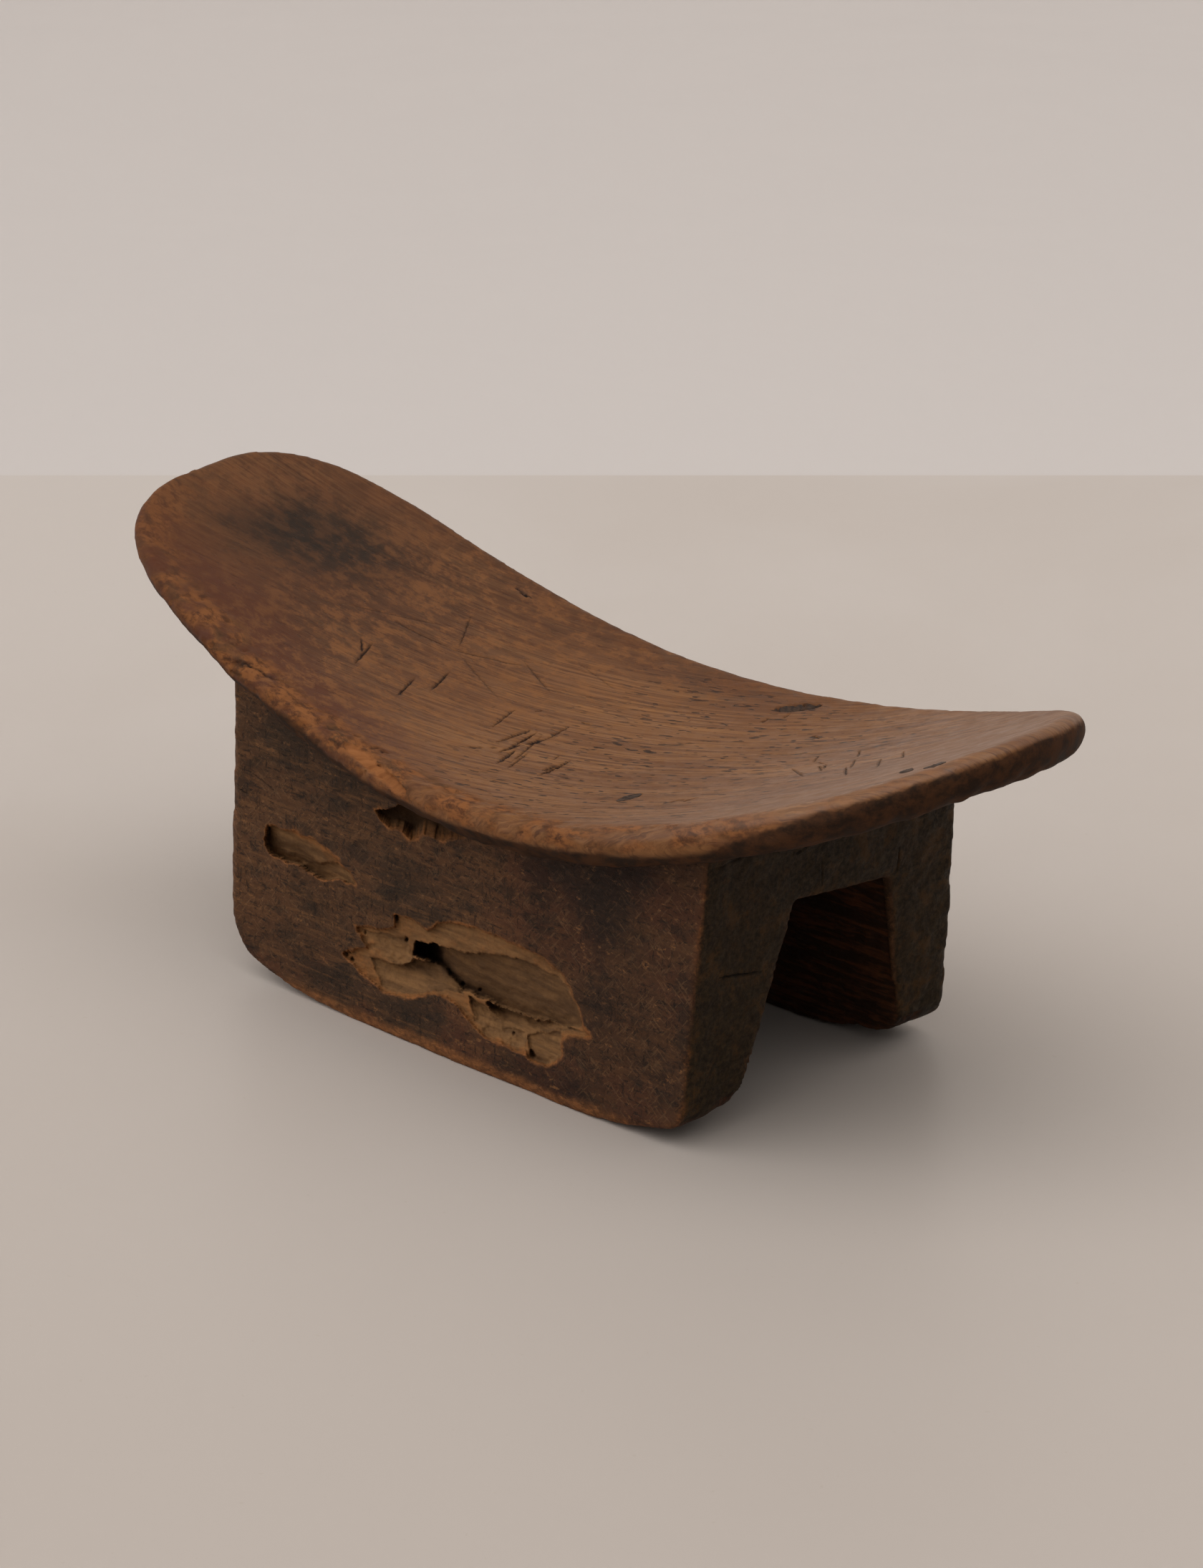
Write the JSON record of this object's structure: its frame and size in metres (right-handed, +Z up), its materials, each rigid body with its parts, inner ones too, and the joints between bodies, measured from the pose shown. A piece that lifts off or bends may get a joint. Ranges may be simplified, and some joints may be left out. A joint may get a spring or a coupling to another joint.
{
  "type": "headrest",
  "caption": "Carved wooden headrest: a long oval saddle curving up at both ends on a block base tunnelled lengthwise into two splayed panel legs.",
  "frame": {"origin": "on the floor under the middle of the saddle, at the centre of the bounding box's underside", "axes": "+X along the saddle towards its lower end, +Z up, -Y towards the side with the decayed hollows"},
  "size_m": [0.52, 0.2212, 0.2095],
  "materials": {
    "saddle_wood": "hand-polished by use",
    "base_wood": "dark smoke patina, matt, with raw tan wood where decay has opened it",
    "knot_wood": "dense dark knot, satin"
  },
  "bodies": {
    "root": {"saddle": "saddle_wood", "bridge": "base_wood", "near_leg": "base_wood", "far_leg": "base_wood", "knot_far": "knot_wood", "knot_near": "knot_wood", "knot_end": "knot_wood", "knot_rise": "knot_wood"}
  },
  "joints": []
}
